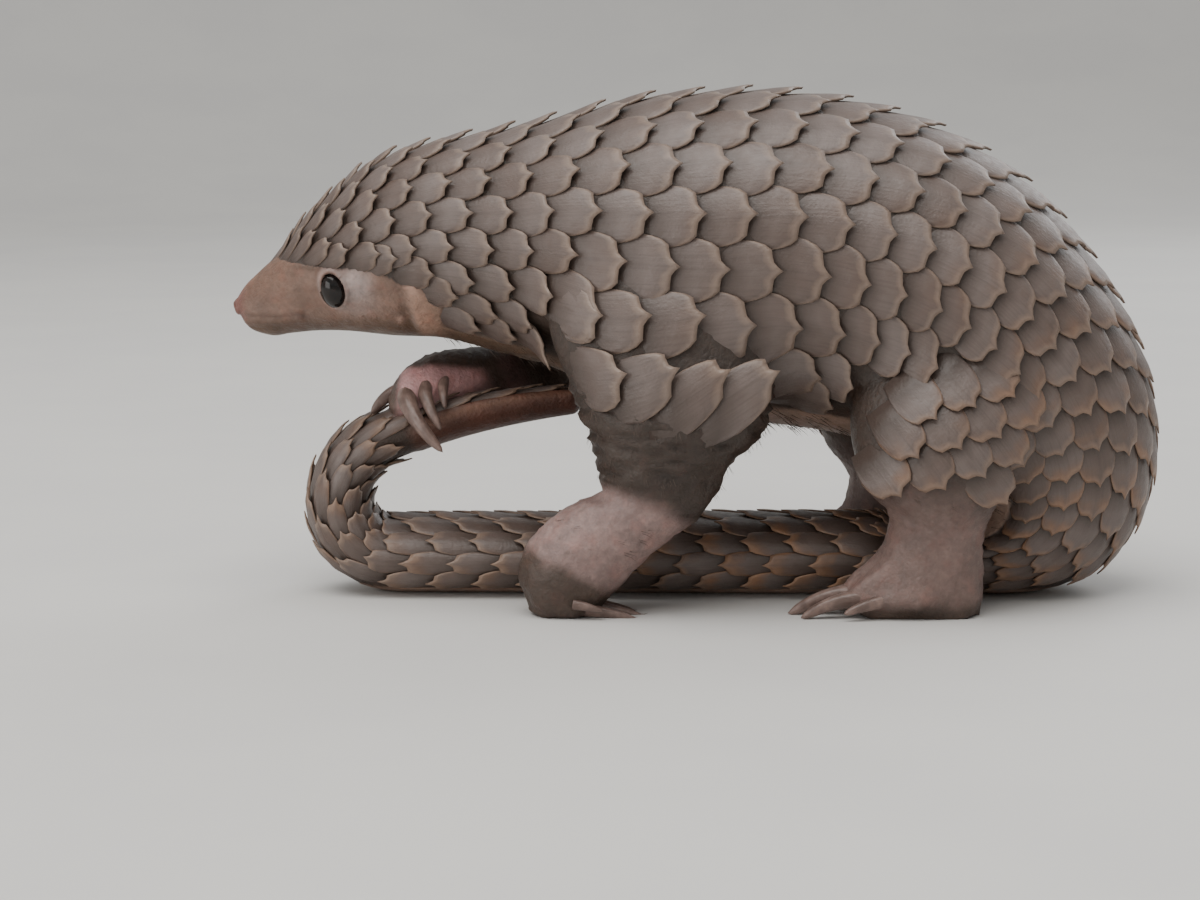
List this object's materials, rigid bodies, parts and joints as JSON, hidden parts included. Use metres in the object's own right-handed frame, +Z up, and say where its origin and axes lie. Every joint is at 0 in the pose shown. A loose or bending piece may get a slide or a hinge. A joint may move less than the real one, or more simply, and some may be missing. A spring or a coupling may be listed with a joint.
{
  "type": "pangolin",
  "caption": "Life-size still model of a young white-bellied tree pangolin, standing with arched back, its tail run forward under the belly and curled up to a forepaw.",
  "frame": {"origin": "on the floor, in the flat underside of the tail below the middle of the body", "axes": "+Z up, -X towards the head, -Y towards the animal's left side"},
  "size_m": [0.142, 0.0596, 0.0776],
  "materials": {
    "scute": "satin horn, grey-brown with paler rims",
    "tail_scute": "satin horn, dark brown",
    "face_skin": "bare brownish-pink skin",
    "foot_skin": "bare mauve-grey skin",
    "claw": "glossy dark horn",
    "eye": "wet black"
  },
  "bodies": {
    "root": {"claw_forefoot_left_1": "claw", "claw_forefoot_left_2": "claw", "claw_forefoot_left_3": "claw", "claw_forefoot_left_4": "claw", "claw_forefoot_left_5": "claw", "claw_forefoot_right_1": "claw", "claw_forefoot_right_2": "claw", "claw_forefoot_right_3": "claw", "claw_forefoot_right_4": "claw", "claw_forefoot_right_5": "claw", "claw_hind_foot_left_1": "claw", "claw_hind_foot_left_2": "claw", "claw_hind_foot_left_3": "claw", "claw_hind_foot_left_4": "claw", "claw_hind_foot_left_5": "claw", "claw_hind_foot_right_1": "claw", "claw_hind_foot_right_2": "claw", "claw_hind_foot_right_3": "claw", "claw_hind_foot_right_4": "claw", "claw_hind_foot_right_5": "claw", "ear_left": "face_skin", "ear_right": "face_skin", "eye_left": "eye", "eye_right": "eye", "forefoot_left": "foot_skin", "forefoot_right": "foot_skin", "foreleg_left": "scute", "foreleg_right": "scute", "head": "face_skin", "hind_foot_left": "foot_skin", "hind_foot_right": "foot_skin", "hind_leg_left": "scute", "hind_leg_right": "scute", "neck": "scute", "tail_base": "tail_scute", "tail_curl": "tail_scute", "tail_end": "tail_scute", "tail_mid": "tail_scute", "torso_front": "scute", "torso_rear": "scute"}
  },
  "joints": []
}
